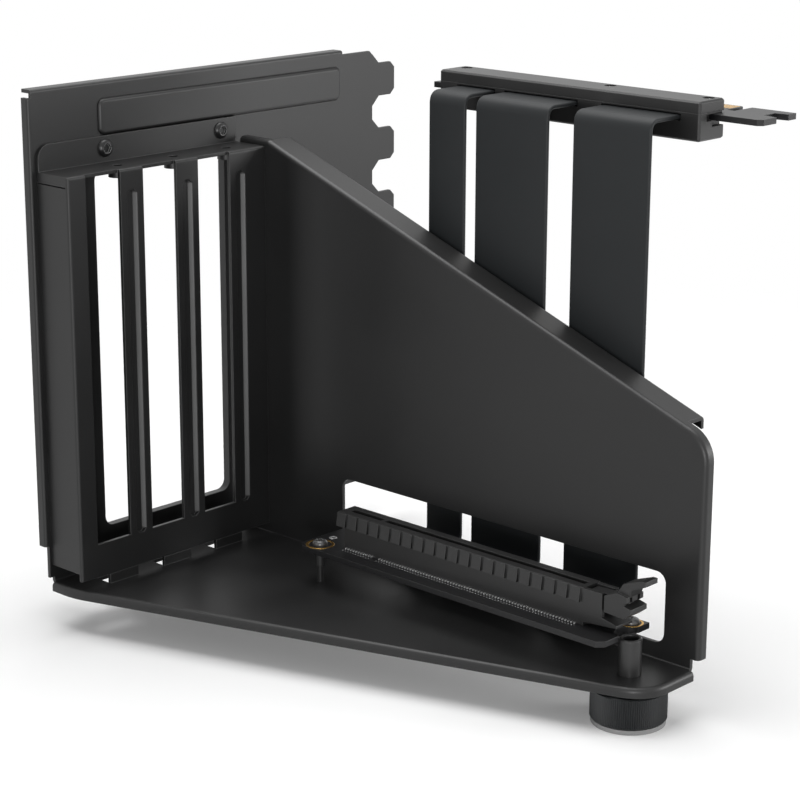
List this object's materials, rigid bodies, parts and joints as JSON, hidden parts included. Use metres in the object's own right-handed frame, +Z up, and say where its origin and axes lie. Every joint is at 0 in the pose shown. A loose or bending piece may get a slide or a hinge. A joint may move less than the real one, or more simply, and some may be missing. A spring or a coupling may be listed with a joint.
{
  "type": "vertical graphics card bracket",
  "caption": "Folded steel bracket that stands a graphics card upright beside its riser slot, with a card cage, a levelling foot and a flat ribbon riser cable ending in an edge-card plug.",
  "frame": {"origin": "middle screw hole of the ear rail, on the rail's seat face", "axes": "+X along the side panel away from the rear plate, +Y from the card side to the board side, +Z up"},
  "size_m": [0.1878, 0.1436, 0.1555],
  "materials": {
    "black_steel": "matte powder coat",
    "black_screw": "black oxide",
    "circuit_board": "black solder mask",
    "pillar_metal": "plain",
    "slot_plastic": "moulded",
    "foot_steel": "plain",
    "knob_metal": "dark anodised, fine knurl",
    "foot_rubber": "matte",
    "ribbon": "soft jacket",
    "plug_plastic": "satin moulded",
    "contact_gold": "gold plate",
    "contact_tin": "tinned"
  },
  "bodies": {
    "frame": {"chassis": "black_steel", "card_cage": "black_steel", "cage_screws": "black_screw", "ear_rail": "black_steel", "riser_board": "circuit_board", "board_pillars": "pillar_metal", "board_screws": "black_screw", "slot_housing": "slot_plastic", "foot_bush": "foot_steel", "ribbon_1": "ribbon", "ribbon_2": "ribbon", "ribbon_3": "ribbon", "plug_base": "plug_plastic", "plug_lid": "plug_plastic", "plug_card": "circuit_board", "plug_screws": "black_screw"},
    "latch": {"slot_latch": "slot_plastic"},
    "foot_rest": {"foot_pad": "foot_rubber"},
    "foot_screw": {"foot_knob": "knob_metal", "foot_stud": "foot_steel"}
  },
  "joints": [
    {"name": "latch_hinge", "type": "hinge", "parent": "frame", "child": "latch", "pos_m": [0.16035, 0.04085, -0.05053], "axis": [0, 1, 0], "range_deg": [0, 12]},
    {"name": "foot_travel", "type": "slide", "parent": "frame", "child": "foot_rest", "axis": [0, 0, -1], "range_m": [0, 0.005]},
    {"name": "knob_turn", "type": "hinge", "parent": "foot_rest", "child": "foot_screw", "pos_m": [0.1691, 0.0421, -0.07717], "axis": [0, 0, -1], "range_deg": [0, 2570]}
  ],
  "couplings": [
    {"joint": "foot_travel", "follows": "knob_turn", "m_per_rad": 0.00011141}
  ]
}
